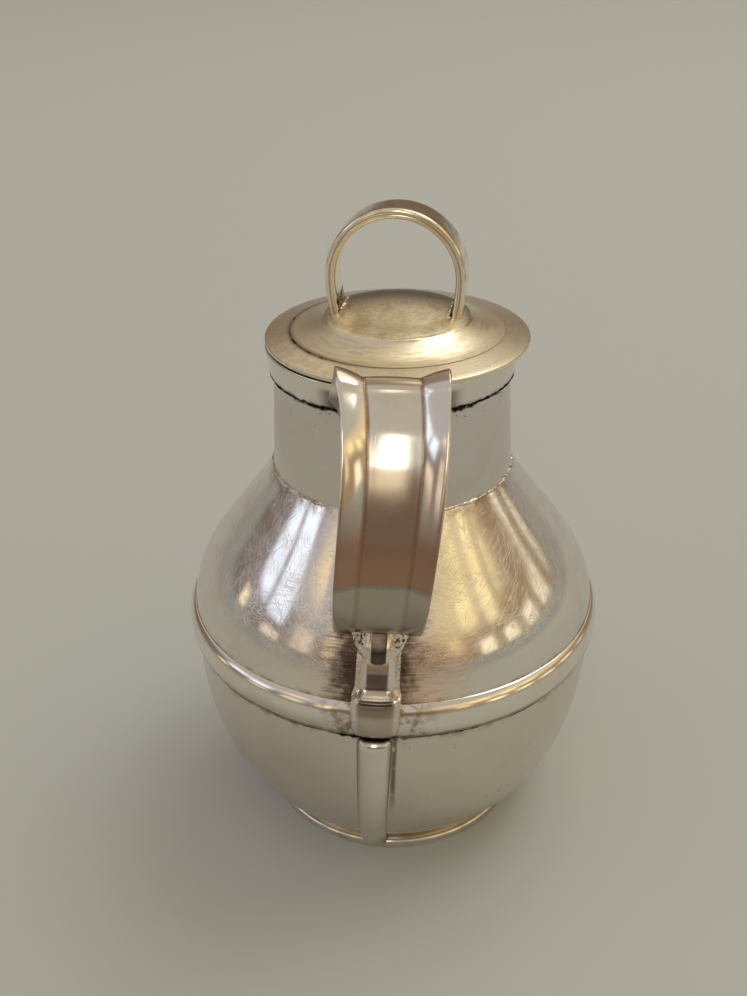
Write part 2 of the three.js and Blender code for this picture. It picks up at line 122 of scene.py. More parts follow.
def turned(outline, centre, steps=192):
    """Vertices and faces of a closed outline of (radius, height) points, turned about an upright axis."""
    vertices = []
    rows = []
    for radius, height in outline:
        if radius < 1e-6:
            rows.append([len(vertices)])
            vertices.append((centre[0], centre[1], height))
            continue
        rows.append(list(range(len(vertices), len(vertices) + steps)))
        for k in range(steps):
            angle = 2 * math.pi * k / steps
            vertices.append((
                centre[0] + radius * math.cos(angle),
                centre[1] + radius * math.sin(angle),
                height,
            ))
    faces = []
    for low, high in zip(rows, rows[1:] + rows[:1]):
        for k in range(steps):
            ahead = (k + 1) % steps
            if len(low) > 1 and len(high) > 1:
                faces.append((low[k], low[ahead], high[ahead], high[k]))
            elif len(low) > 1:
                faces.append((low[k], low[ahead], high[0]))
            elif len(high) > 1:
                faces.append((low[0], high[ahead], high[k]))
    return vertices, faces


class Wire:
    """An output of a shader node. Maths with it adds Math nodes."""

    def __init__(self, paint, socket):
        self.paint = paint
        self.socket = socket

    def maths(self, operation, first, second):
        return self.paint.node("ShaderNodeMath", {"operation": operation}, {0: first, 1: second})

    def __add__(self, other):
        return self.maths("ADD", self, other)

    __radd__ = __add__

    def __sub__(self, other):
        return self.maths("SUBTRACT", self, other)

    def __rsub__(self, other):
        return self.maths("SUBTRACT", other, self)

    def __mul__(self, other):
        return self.maths("MULTIPLY", self, other)

    __rmul__ = __mul__

    def __truediv__(self, other):
        return self.maths("DIVIDE", self, other)

    def __pow__(self, other):
        return self.maths("POWER", self, other)

    def __abs__(self):
        return self.maths("ABSOLUTE", self, 0.0)

    def least(self, other):
        return self.maths("MINIMUM", self, other)

    def most(self, other):
        return self.maths("MAXIMUM", self, other)

    def angle(self, other):
        return self.maths("ARCTAN2", self, other)

    def ease(self, low, high):
        """0 at low and 1 at high, with a smooth step between; high may be the lower one."""
        return self.paint.node("ShaderNodeMapRange", {"interpolation_type": "SMOOTHSTEP"}, {
            "Value": self, "From Min": low, "From Max": high,
        })


class Paint:
    """A node tree, of a material or of the world."""

    def __init__(self, owner, shader):
        owner.use_nodes = True
        self.tree = owner.node_tree
        self.shader = self.tree.nodes[shader]

    def node(self, kind, settings=None, sockets=None, out=0):
        made = self.tree.nodes.new(kind)
        for key, value in (settings or {}).items():
            setattr(made, key, value)
        for key, value in (sockets or {}).items():
            self.join(made.inputs[key], value)
        return Wire(self, made.outputs[out])

    def join(self, socket, value):
        if isinstance(value, Wire):
            self.tree.links.new(value.socket, socket)
        else:
            socket.default_value = value

    def feed(self, **sockets):
        for key, value in sockets.items():
            self.join(self.shader.inputs[key.replace("_", " ")], value)

    def parts(self, vector):
        node = self.node("ShaderNodeSeparateXYZ", None, {0: vector}).socket.node
        return [Wire(self, node.outputs[k]) for k in range(3)]

    def vector(self, x, y, z):
        return self.node("ShaderNodeCombineXYZ", None, {0: x, 1: y, 2: z})

    def blend(self, factor, first, second):
        node = self.node("ShaderNodeMix", {"data_type": "RGBA"}).socket.node
        self.join(node.inputs[0], factor)
        self.join(node.inputs[6], first)
        self.join(node.inputs[7], second)
        return Wire(self, node.outputs[2])


def colour(red, green, blue):
    return (red, green, blue, 1.0)


class Silver(Paint):
    """Old silver, with the fields that its wear is drawn from. Places are in millimetres and stay with
    the piece when it moves."""

    def __init__(self, name, axis=jug_axis):
        self.material = bpy.data.materials.new(name)
        super().__init__(self.material, "Principled BSDF")
        self.feed(Metallic=1.0)
        place = self.node("ShaderNodeTexCoord", out=3)
        self.place = self.node("ShaderNodeVectorMath", {"operation": "SCALE"}, {0: place, "Scale": 1 / MM})
        self.x, self.y, self.z = self.parts(self.place)
        east = self.x - axis[0]
        north = self.y - axis[1]
        self.radius = (east * east + north * north + 1e-6) ** 0.5
        self.east = east / self.radius
        self.north = north / self.radius
        self.turn = self.east.angle(self.north * -1)
        self.base = None
        self.rough = None
        self.normal = None

    def cloud(self, scale, detail=2.0, roughness=0.5, vector=None):
        return self.node("ShaderNodeTexNoise", None, {
            "Vector": vector or self.place, "Scale": scale, "Detail": detail, "Roughness": roughness,
        })

    def mark(self, name):
        return self.node("ShaderNodeAttribute", {"attribute_name": name}, out=2)

    def pits(self, scale, size):
        """Round pinholes, about one for each 1 / scale millimetres."""
        from_middle = self.node("ShaderNodeTexVoronoi", None, {"Vector": self.place, "Scale": scale})
        return from_middle.ease(size, size * 0.5)

    def bump(self, height, depth):
        """Lays a height field over the normal. Its full depth is in millimetres."""
        sockets = {"Height": height, "Strength": 1.0, "Distance": depth * MM}
        if self.normal:
            sockets["Normal"] = self.normal
        self.normal = self.node("ShaderNodeBump", None, sockets)

    def polished(self, tone, shade, rough, waves=0.03):
        """Tone, roughness and the soft waves that hand polishing leaves."""
        stain = self.cloud(0.10, 4.0, 0.6).ease(0.46, 0.72)
        self.film = self.cloud(0.55, 4.0, 0.65)
        self.base = self.blend(stain * 0.5 + self.film * 0.2, colour(*tone), colour(*shade))
        self.rough = self.film * 0.07 + stain * 0.03 + (rough - 0.035)
        self.bump(self.cloud(0.085, 1.0), waves)
        self.bump(self.cloud(0.4, 1.0), waves * 0.12)

    def lathe_lines(self, depth, spread=1.6, closeness=5.0):
        """Fine lines that run round the axis, broken after some millimetres. A higher spread breaks them
        sooner, and closeness is about how many there are in a millimetre."""
        along = self.radius - self.z
        for density, share in ((closeness * 3.4, 0.35), (closeness, 1.0)):
            lines = self.vector(self.east * spread, self.north * spread, along * density)
            self.streaks = self.cloud(1.0, 2.0, 0.6, lines)
            self.bump(self.streaks, depth * share)
            self.rough = self.rough + (self.streaks - 0.5) * (depth * share * 12)

    def hairlines(self, depth, turns=(20, 65, 112, 158)):
        """Polishing scratches in a few directions, each in patches."""
        round_way = self.turn * self.radius
        marks = None
        for turn in turns:
            tilt = math.radians(turn)
            along = round_way * math.cos(tilt) + self.z * math.sin(tilt)
            across = self.z * math.cos(tilt) - round_way * math.sin(tilt)
            hair = self.cloud(1.0, 1.0, 0.5, self.vector(along * 0.16, across * 3.4, float(turn)))
            patch = self.cloud(0.2, 1.0, 0.5, self.vector(self.x, self.y, self.z + float(turn)))
            mark = abs(hair - 0.5).ease(0.012, 0.0) * patch.ease(0.45, 0.6)
            marks = mark if marks is None else marks.most(mark)
        self.bump(marks, -depth)
        self.rough = self.rough + marks * 0.05

    def tarnish(self, mask, tone=(0.30, 0.17, 0.10)):
        """Colours the silver where the mask is 1, and dulls it a little: tarnish, and at some places painted
        shade and painted reflections.
        """
        self.base = self.blend(mask, self.base, colour(*tone))
        self.rough = self.rough + mask * 0.10

    def grime_and_painted_shade(self, mask, depth=0.02):
        """Black where the mask is 1, in a hollow of that depth: dirt, and at some places painted shade."""
        self.base = self.blend(mask, self.base, colour(0.016, 0.012, 0.010))
        self.rough = self.rough + mask * 0.35
        self.bump(mask, -depth)

    def done(self):
        self.feed(Base_Color=self.base, Roughness=self.rough, Normal=self.normal)


foot = Silver("foot_silver")
foot.polished((0.86, 0.82, 0.74), (0.70, 0.58, 0.42), 0.13)
foot.lathe_lines(0.0008)
foot.tarnish(foot.film.ease(0.5, 0.75) * 0.4)
foot.done()

foot_outline = softened([
    (foot_radius - foot_width, foot_low.z, foot_back_corner),
    (foot_radius, foot_low.z, foot_lip),
    (foot_radius, foot_high.z, foot_lip),
    (foot_radius - foot_width, foot_high.z, foot_back_corner),
], 6, 1)
piece("foot_ring_silver", *turned(foot_outline, jug_axis), foot, "jug", "bright_silver", "foot_ring")


# Lower bowl
# The lower half of the body, spun from sheet to a deep round bowl with a flat base inside the foot.
# It was polished by hand and has gone slightly dull below, where it is handled least.

bowl_low, bowl_high = extent("lower_bowl")
belly_radius = (bowl_high.x - bowl_low.x) / 2
belly_height = bowl_high.z
base_radius = 15.6
base_angle = 34
base_pull = 9.4
belly_pull = 16.5
wall = 0.9
# The strap, the bridge and the tab lean a little to the right as they rise, about this height.
lean = math.tan(math.radians(2.4))
lean_centre = 34.5


def bezier(start, start_pull, end_pull, end, steps):
    """Points of a curve that leaves its start and reaches its end along the two pulls."""
    points = []
    for k in range(steps + 1):
        t = k / steps
        points.append(
            Vector(start) * (1 - t) ** 3 + Vector(start_pull) * 3 * t * (1 - t) ** 2
            + Vector(end_pull) * 3 * t ** 2 * (1 - t) + Vector(end) * t ** 3
        )
    return points


def offset(points, distance):
    """An outline moved sideways; positive moves a rising outline away from the axis."""
    moved = []
    for i, point in enumerate(points):
        along = (points[min(i + 1, len(points) - 1)] - points[max(i - 1, 0)]).normalized()
        moved.append(Vector((point.x + along.y * distance, point.y - along.x * distance)))
    return moved


def from_line(silver):
    """How far a place of the piece lies to the right of the leaning line."""
    return silver.x - (silver.z - lean_centre) * lean


bowl_curve = bezier(
    (base_radius, bowl_low.z),
    (
        base_radius + base_pull * math.cos(math.radians(base_angle)),
        bowl_low.z + base_pull * math.sin(math.radians(base_angle)),
    ),
    (belly_radius, belly_height - belly_pull),
    (belly_radius, belly_height),
    56,
)
bowl_inner = offset(bowl_curve, -wall)
bowl_inner[-1] = Vector((belly_radius - wall, belly_height))
bowl_outline = (
    [Vector((0, bowl_low.z)), Vector((base_radius * 0.97, bowl_low.z))]
    + bowl_curve
    + bowl_inner[::-1]
    + [Vector((0, bowl_low.z + wall))]
)

band_low, band_high = extent("belly_band")
bowl = Silver("bowl_silver")
bowl.polished((0.75, 0.70, 0.61), (0.68, 0.62, 0.52), 0.21, 0.025)
bowl.lathe_lines(0.0009)
bowl.hairlines(0.0012)
seam_edge = bowl.z.ease(band_low.z - 1.3, band_low.z)
bowl.tarnish(seam_edge * bowl.film.ease(0.42, 0.7) * 0.7)
by_strap = abs(bowl.x).ease(9.0, 2.5) * bowl.y.ease(0.0, -5.0)
ragged = (seam_edge * 0.5 + by_strap * 0.12 + bowl.cloud(1.6, 3.0, 0.7) * 0.62).ease(0.74, 0.92)
bowl.grime_and_painted_shade(ragged * (bowl.cloud(0.14).ease(0.44, 0.58) * 0.6 + by_strap * 0.6 + 0.2))
right_of_strap = from_line(bowl) - 2.5
strap_shade = abs(right_of_strap).ease(0.5, 0.1) * bowl.z.ease(12.0, 20.0) * bowl.y.ease(0.0, -5.0)
bowl.tarnish(strap_shade * bowl.film.ease(0.24, 0.46) * 0.85, (0.16, 0.12, 0.09))
bowl.grime_and_painted_shade(bowl.pits(0.5, 0.12) * bowl.cloud(0.2).ease(0.5, 0.6) * 0.3, 0.008)
bowl.done()
piece("lower_bowl_silver", *turned(bowl_outline, jug_axis, 256), bowl, "jug", "polished_silver", "lower_bowl")


# Shoulder
# The upper half of the body, raised in to the neck and soldered to the bowl edge to edge. It has the
# brightest polish of the jug, with swirling cloth scratches and brown tarnish beside the handle's foot.

shoulder_high = extent("shoulder")[1]
neck_low, neck_high = extent("neck_tube")
neck_base_radius = (neck_high.x - neck_low.x) / 2
shoulder_pull = 8.8
shoulder_neck_pull = 14.5
shoulder_neck_angle = 56
neck_wall = 0.8

shoulder_curve = bezier(
    (belly_radius, belly_height),
    (belly_radius, belly_height + shoulder_pull),
    (
        neck_base_radius + shoulder_neck_pull * math.cos(math.radians(shoulder_neck_angle)),
        shoulder_high.z - shoulder_neck_pull * math.sin(math.radians(shoulder_neck_angle)),
    ),
    (neck_base_radius, shoulder_high.z),
    56,
)
shoulder_inner = offset(shoulder_curve, -wall)
shoulder_inner[0] = Vector((belly_radius - wall, belly_height))
shoulder_inner[-1] = Vector((neck_base_radius - neck_wall, shoulder_high.z))
shoulder_outline = shoulder_curve + shoulder_inner[::-1]
body_curve = bowl_curve + shoulder_curve[1:]

shoulder = Silver("shoulder_silver")
shoulder.polished((0.85, 0.81, 0.75), (0.74, 0.66, 0.58), 0.10, 0.03)
shoulder.hairlines(0.0050, (8, 35, 62, 95, 128, 160))
from_middle = from_line(shoulder)
off_middle = abs(from_middle)
front = shoulder.y.ease(-12.0, -20.0)
low = shoulder.z.ease(44.0, 35.0)
brushed = off_middle.ease(14.0, 4.5) * front * low * (shoulder.x.ease(-4.0, 3.0) * 0.6 + 0.4)
level_lines = shoulder.vector(shoulder.x * 0.25, shoulder.y * 0.25, shoulder.z * 4.5)
grain = shoulder.cloud(1.0, 2.0, 0.6, level_lines)
shoulder.bump(grain * brushed, 0.022)
shoulder.rough = shoulder.rough + brushed * 0.10
shoulder.tarnish(brushed * 0.85, (0.96, 0.72, 0.52))
shoulder.tarnish(brushed * grain.ease(0.50, 0.66) * 0.45, (0.52, 0.28, 0.18))
ragged_width = abs(from_middle + 0.7) + (shoulder.film - 0.5) * 5.0 + (grain - 0.5) * 4.0
beside = ragged_width.ease(6.6, 2.9) * front * shoulder.z.ease(46.5, 43.0)
shoulder.tarnish(beside * 0.93, (0.07, 0.035, 0.020))
over_band = shoulder.z.ease(band_high.z + 0.7, band_high.z)
shoulder.tarnish(over_band * shoulder.film.ease(0.4, 0.65) * 0.8)
under_neck = shoulder.z.ease(shoulder_high.z - 1.6, shoulder_high.z - 0.3)
shoulder.tarnish(under_neck * shoulder.film.ease(0.4, 0.65) * 0.6)
shoulder.done()
piece(
    "shoulder_silver", *turned(shoulder_outline, jug_axis, 256), shoulder,
    "jug", "polished_silver", "shoulder",
)


# Belly moulding
# A D-section silver wire bent round the joint of the two halves and soldered along both edges. Polish and
# tarnish have collected in the lower seam.

band_radius = (band_high.x - band_low.x) / 2
band_middle = (band_low.z + band_high.z) / 2
band_half = (band_high.z - band_low.z) / 2


def body_radius(height):
    """Outer radius of the bowl or the shoulder at a height."""
    return float(np.interp(height, [p.y for p in body_curve], [p.x for p in body_curve]))


band_crest = band_middle + 0.5


def band_reach(height):
    """Radius of the moulding: a long round back above its crest and a fuller belly below."""
    if not band_low.z < height < band_high.z:
        return 0
    if height > band_crest:
        proud = (1 - ((height - band_crest) / (band_high.z - band_crest)) ** 2) ** 0.85
    else:
        proud = (1 - ((band_crest - height) / (band_crest - band_low.z)) ** 2.6) ** 0.7
    return belly_radius + (band_radius - belly_radius) * proud


band_outer = []
for k in range(49):
    height = band_middle + band_half * math.sin(math.pi * (k / 48 - 0.5))
    band_outer.append(Vector((max(band_reach(height), belly_radius), height)))
band_inner = [Vector((body_radius(p.y) + 0.02, p.y)) for p in band_outer]
band_outline = band_outer[1:-1] + band_inner[::-1]

band = Silver("band_silver")
band.polished((0.88, 0.84, 0.76), (0.74, 0.64, 0.50), 0.14, 0.045)
band.lathe_lines(0.0012)
band_across = (band.z - band_middle) / band_half
band.bump(1 - band_across * band_across, 0.45)
low_edge = band.z.ease(band_low.z + 1.1, band_low.z + 0.15)
band.tarnish(low_edge * band.film.ease(0.4, 0.62) * 0.8)
by_bridge = abs(band.x).ease(9.0, 3.5) * band.y.ease(0.0, -5.0)
band.tarnish(by_bridge * band.film.ease(0.45, 0.65) * 0.8, (0.22, 0.12, 0.07))
seam_patch = band.cloud(0.14).ease(0.44, 0.58) * 0.7 + by_bridge * 0.6 + 0.15
band.grime_and_painted_shade((low_edge * 0.55 + band.cloud(1.4, 3.0, 0.7) * 0.6).ease(0.76, 0.94) * seam_patch)
band.grime_and_painted_shade(band.pits(1.4, 0.2) * band.cloud(0.25).ease(0.52, 0.62) * (by_bridge + 0.2), 0.02)
band.done()
piece("belly_band_silver", *turned(band_outline, jug_axis, 256), band, "jug", "bright_silver", "belly_band")


# Neck
# A tube of rolled sheet with a slight taper, soldered on the shoulder. It is left satin from the lathe,
# with fine level lines and pitted solder below the collar.

neck_top_radius = 15.05
neck_outline = softened([
    (neck_base_radius - neck_wall, neck_low.z, 0.0),
    (neck_base_radius, neck_low.z, 0.0),
    (neck_top_radius, neck_high.z, 0.12),
    (neck_top_radius - neck_wall, neck_high.z, 0.12),
], 3, 3)
collar_low, collar_high = extent("rim_collar")
neck = Silver("neck_silver")
neck.polished((0.74, 0.71, 0.67), (0.66, 0.60, 0.52), 0.29, 0.02)
neck.lathe_lines(0.0040)
neck.hairlines(0.0018, (12, 70, 140))
near_collar = neck.z.ease(collar_low.z - 4.5, collar_low.z - 0.2)
pit_patch = neck.cloud(0.33).ease(0.56, 0.62)
outside = neck.radius.ease(14.5, 14.8)
neck.grime_and_painted_shade(neck.pits(1.7, 0.26) * pit_patch * near_collar * outside)
neck.grime_and_painted_shade((near_collar ** 6.0 * 0.6 + neck.cloud(0.7, 3.0, 0.7) * 0.6).ease(0.76, 0.92) * outside)
neck.done()
piece("neck_silver", *turned(neck_outline, jug_axis, 224), neck, "jug", "brushed_silver", "neck_tube")


# Rim collar
# A flared ring soldered round the top of the neck to stiffen the rim and to carry the handle. Its lower
# edge holds black, pitted solder.

collar_radius = (collar_high.x - collar_low.x) / 2
collar_foot_radius = 15.72
collar_outline = softened([
    (neck_top_radius + 0.19, collar_low.z, 0.0),
    (collar_foot_radius, collar_low.z, 0.14),
    (collar_radius, collar_high.z, 0.3),
    (neck_top_radius + 0.02, collar_high.z, 0.1),
], 5, 3)
collar = Silver("collar_silver")
collar.polished((0.86, 0.82, 0.75), (0.72, 0.64, 0.54), 0.15, 0.03)
collar.lathe_lines(0.0012)
collar_edge = collar.z.ease(collar_low.z + 0.9, collar_low.z)
collar.tarnish(collar_edge * collar.film.ease(0.4, 0.65) * 0.8)
# Painted shade: the collar beside the handle's root is darkened almost to black.
painted_shade_by_handle = abs(collar.x - 0.7).ease(9.2, 6.6) * collar.y.ease(-8.0, -11.0)
painted_shade_by_handle = painted_shade_by_handle * collar.z.ease(collar_high.z - 0.6, collar_high.z - 1.3)
collar.tarnish(painted_shade_by_handle * 0.88, (0.09, 0.07, 0.06))
collar.grime_and_painted_shade((collar_edge * 0.6 + collar.cloud(0.7, 3.0, 0.7) * 0.6).ease(0.72, 0.88))
collar.done()
piece(
    "rim_collar_silver", *turned(collar_outline, jug_axis, 224), collar,
    "jug", "brushed_silver", "rim_collar",
)


# Back strap
# A half-round strap soldered down the bowl from the moulding to the foot. Its top was left ragged under
# the bridge.

seat_sink = 0.05
strap_side = 0.12


def skinned(rings):
    """Vertices and faces of a row of rings of points, closed at both ends."""
    count = len(rings[0])
    vertices = [point for ring in rings for point in ring]
    faces = []
    for i in range(len(rings) - 1):
        for j in range(count):
            a = i * count + j
            b = i * count + (j + 1) % count
            faces.append((a, b, b + count, a + count))
    faces.append(tuple(range(count))[::-1])
    last = (len(rings) - 1) * count
    faces.append(tuple(range(last, last + count)))
    return vertices, faces


def applied(stations):
    """Rings of a piece laid on the body. A station is (height, seat radius, section); a section has
    (sideways, outward) points."""
    rings = []
    for i, (height, radius, section) in enumerate(stations):
        below = stations[max(i - 1, 0)]
        above = stations[min(i + 1, len(stations) - 1)]
        along = Vector((above[1] - below[1], above[0] - below[0])).normalized()
        middle = lean * (height - lean_centre)
        ring = []
        for sideways, outward in section:
            side = middle + sideways
            front = -math.sqrt(radius ** 2 - side ** 2)
            out = outward * along.y / radius
            ring.append(Vector((
                jug_x + side * (1 + out),
                jug_y + front * (1 + out),
                height - along.x * outward,
            )))
        rings.append(ring)
    return rings


def crowned(half, thick):
    """The strap's section, with a flat base, upright edges and a crown."""
    points = [(half * (1 - 2 * k / 8), -seat_sink) for k in range(9)]
    for k in range(25):
        angle = math.pi * (1 - k / 24)
        points.append((half * math.cos(angle), strap_side + (thick - strap_side) * math.sin(angle) ** 0.9))
    return points


strap_low = extent("back_strap")[0]
strap_stations = []
for k in range(61):
    t = k / 60
    height = strap_low.z + (band_low.z - 0.12 - strap_low.z) * t
    ending = min(t / 0.02, 1)
    topping = min((1 - t) / 0.03, 1)
    half = (1.7 + 0.55 * t) * (0.75 + 0.25 * math.sqrt(min(ending, topping)))
    thick = (1.0 + 0.45 * t) * (0.35 + 0.65 * math.sqrt(min(ending, topping)))
    strap_stations.append((height, max(body_radius(height), foot_radius), crowned(half, thick)))
strap = Silver("strap_silver")
strap.polished((0.84, 0.80, 0.72), (0.68, 0.58, 0.46), 0.15, 0.035)
strap_off = abs(from_line(strap))
strap_edge = strap_off.ease(1.5, 2.2)
strap_top = strap.z.ease(band_low.z - 1.0, band_low.z - 0.3)
strap.tarnish(strap_edge * 0.75, (0.20, 0.13, 0.09))
strap.tarnish(strap_top * strap.film.ease(0.4, 0.6) * 0.7)
strap.tarnish(strap.z.ease(9.0, 2.0) * strap.x.ease(-1.0, 0.2) * 0.5)
# Painted shadow: the top end of the strap, under the bridge's lower end, is blackened.
strap.grime_and_painted_shade(strap.z.ease(band_low.z - 0.55, band_low.z - 0.2))
strap.done()
piece("back_strap_silver", *skinned(applied(strap_stations)), strap, "jug", "tarnished_silver", "back_strap")


# Bridge over the moulding
# A bevelled strap that carries the line of the handle down over the moulding. It is filed to a flat
# face with hollow sides, folded sharply where it meets the moulding, and cut off below it.

bridge_fold = band_high.z + 1.05
bridge_rows = [
    # height, full width, face width, reach beyond the body, roundness
    (40.6, 5.3, 2.6, 0.86, 0.0),
    (38.2, 5.4, 2.6, 0.90, 0.0),
    (37.0, 5.4, 2.7, 0.92, 0.0),
    (35.8, 5.5, 2.9, 0.96, 0.0),
    (35.5, 5.6, 3.1, 1.08, 0.0),
    (bridge_fold + 0.14, 6.1, 4.0, 1.68, 0.1),
    (bridge_fold, 6.2, 4.0, 1.52, 0.5),
    (bridge_fold - 0.14, 6.2, 4.1, 1.80, 0.8),
    (34.0, 6.3, 4.2, 2.00, 1.0),
    (33.4, 6.3, 4.2, 2.12, 1.0),
    (32.4, 6.3, 4.2, 2.13, 1.0),
    (31.8, 6.3, 4.2, 2.11, 1.0),
    (31.2, 6.3, 4.2, 2.03, 1.0),
    (30.6, 6.2, 4.2, 1.87, 1.0),
    (29.7, 6.0, 4.1, 1.48, 1.0),
    (29.2, 5.7, 4.0, 1.10, 1.0),
    (28.98, 5.3, 3.9, 0.87, 1.0),
]
bridge_heights = [row[0] for row in bridge_rows][::-1]
bridge_side = 0.10


def bridge_value(height, column):
    """A value of the rows at a height, evened out over a short stretch away from the fold."""
    stretch = min(max(abs(height - bridge_fold) - 0.2, 0), 0.3)
    near = [height - stretch, height - stretch / 2, height, height + stretch / 2, height + stretch]
    return float(np.mean(np.interp(near, bridge_heights, [row[column] for row in bridge_rows][::-1])))


def bridge_section(width, face, thick, roundness):
    """Flat with hollow sides above the fold, and crowned like the moulding below it."""
    half = width / 2
    points = [(half * (1 - 2 * k / 8), -seat_sink) for k in range(9)]
    for k in range(45):
        side = -half * math.cos(math.pi * k / 44)
        down = max(abs(side) - face / 2, 0) / (half - face / 2)
        filed = bridge_side + (thick - bridge_side) * (1 - down) ** 1.7
        crown = bridge_side + (thick - bridge_side) * (1 - min(abs(side) / half, 1) ** 3) ** 0.5
        points.append((side, filed + (crown - filed) * roundness))
    return points


bridge_stations = []
for k in range(181):
    height = bridge_rows[-1][0] + (bridge_rows[0][0] - bridge_rows[-1][0]) * k / 180
    section = bridge_section(*[bridge_value(height, column) for column in (1, 2, 3, 4)])
    bridge_stations.append((height, body_radius(height), section))
bridge = Silver("bridge_silver")
bridge.polished((0.86, 0.81, 0.73), (0.60, 0.46, 0.34), 0.15, 0.04)
bridge_off = abs(from_line(bridge))
upper_face = bridge_off.ease(1.4, 1.15) * bridge.z.ease(35.4, 35.7) * bridge.z.ease(38.1, 37.7)
barrel = bridge_off.ease(2.6, 1.9) * bridge.z.ease(bridge_fold + 0.05, bridge_fold - 0.1)
bridge.tarnish(upper_face * (bridge.film * 0.3 + 0.7), (0.12, 0.07, 0.05))
above_fold = bridge.z.ease(bridge_fold, bridge_fold + 0.1) * bridge.z.ease(36.0, 35.6)
bridge.tarnish(above_fold * bridge_off.ease(2.4, 1.9) * 0.8, (0.30, 0.26, 0.20))
bridge.tarnish(barrel * 0.7, (0.44, 0.36, 0.28))
bridge.tarnish(barrel * bridge.z.ease(32.5, 33.4) * (bridge.film * 0.4 + 0.4), (0.22, 0.15, 0.10))
crease = abs(bridge.z - bridge_fold).ease(0.20, 0.06) * bridge_off.ease(2.2, 1.9)
bridge.grime_and_painted_shade(crease * 0.9)
# Painted shadow: the downward-facing lower end of the bridge is blackened.
bridge.grime_and_painted_shade(bridge.z.ease(29.5, 29.05))
rough_sides = bridge_off.ease(2.0, 2.5)
bridge.bump(bridge.cloud(1.3, 3.0, 0.6) * rough_sides, 0.16)
bridge.grime_and_painted_shade(bridge.pits(2.2, 0.2) * rough_sides * bridge.cloud(0.6).ease(0.45, 0.6))
bridge.done()
piece(
    "band_bridge_silver", *skinned(applied(bridge_stations)), bridge,
    "jug", "tarnished_silver", "band_bridge",
)


# Tab under the handle
# A shield-shaped plate soldered on the shoulder, which spreads the handle's pull. It is filed to a flat
# stripe with a facet on each side. The solder left pits at its upper corners.

tab_bottom = 38.3
tab_top = 45.0
tab_foot_half = 2.5
tab_head_half = 4.2
tab_stations = []
for k in range(71):
    height = tab_bottom + (tab_top - tab_bottom) * k / 70
    from_end = min((height - tab_bottom) / 2.0, (tab_top - height) / 1.4, 1)
    full = math.sqrt(max(1 - (1 - from_end) ** 2, 0.004))
    spread = min(max(height - tab_bottom - 1.0, 0) / 3.8, 1)
    half = (tab_foot_half + (tab_head_half - tab_foot_half) * spread) * full
    thick = 0.45 + 1.05 * full
    stripe = min(0.85, half * 0.4)
    section = softened([
        (half, -seat_sink, 0.0),
        (-half, -seat_sink, 0.0),
        (-half, 0.30 * full, 0.1),
        (-stripe, thick, 0.35),
        (stripe, thick, 0.35),
        (half, 0.30 * full, 0.1),
    ], 5, 4)
    tab_stations.append((height, body_radius(height), [tuple(p) for p in section]))
tab = Silver("tab_silver")
tab.polished((0.88, 0.83, 0.75), (0.64, 0.50, 0.38), 0.13, 0.03)
tab_off = abs(from_line(tab))
tab_stripe = tab_off.ease(1.0, 0.85) * tab.z.ease(38.6, 39.2)
tab.tarnish(tab_stripe * (tab.film * 0.2 + 0.82), (0.06, 0.038, 0.03))
corners = tab_off.ease(1.2, 2.0) * tab.z.ease(39.6, 40.8)
tab.bump(tab.cloud(1.5, 3.0, 0.6) * corners, 0.26)
tab.grime_and_painted_shade((tab.cloud(2.2, 3.0, 0.7) * 0.8 + corners * 0.2).ease(0.60, 0.66) * corners * 0.9)
tab.done()
piece("handle_tab_silver", *skinned(applied(tab_stations)), tab, "jug", "tarnished_silver", "handle_tab")


# Handle
# One strap of silver with its two sides raised to sloping flanges. It is folded over beside the rim,
# where its end is soldered to the collar, swells outward and comes back to the tab on the shoulder.

lid_low, lid_high = extent("lid_plate")
lid_x = (lid_low.x + lid_high.x) / 2
lid_y = (lid_low.y + lid_high.y) / 2
lid_axis = (lid_x, lid_y)
lid_radius = (lid_high.x - lid_low.x) / 2
handle_top_width = 12.9
handle_foot_width = 10.3
panel_top_width = 6.7
panel_foot_width = 5.3
handle_thick = 1.1
handle_rise = 1.45
handle_edge = 1.0
handle_bow = 2.3
root_reach = collar_radius + 0.3
lid_reach = lid_radius + (lid_x - jug_x) + 0.3
handle_corners = [
    (root_reach + 0.08, collar_high.z - 2.7),
    (root_reach + 0.38, collar_high.z - 0.95),
    (lid_reach + 0.07, 71.67),
    (lid_reach + 0.68, 72.75),
    (lid_reach + 1.50, 73.15),
    (lid_reach + 2.40, 73.08),
    (lid_reach + 3.12, 72.72),
    (lid_reach + 3.75, 72.05),
    (25.7, 68.1),
    (28.6, 62.7),
    (31.0, 55.5),
    (31.4, 50.6),
    (29.3, 45.4),
    (26.4, 43.3),
    (25.0, 42.5),
]


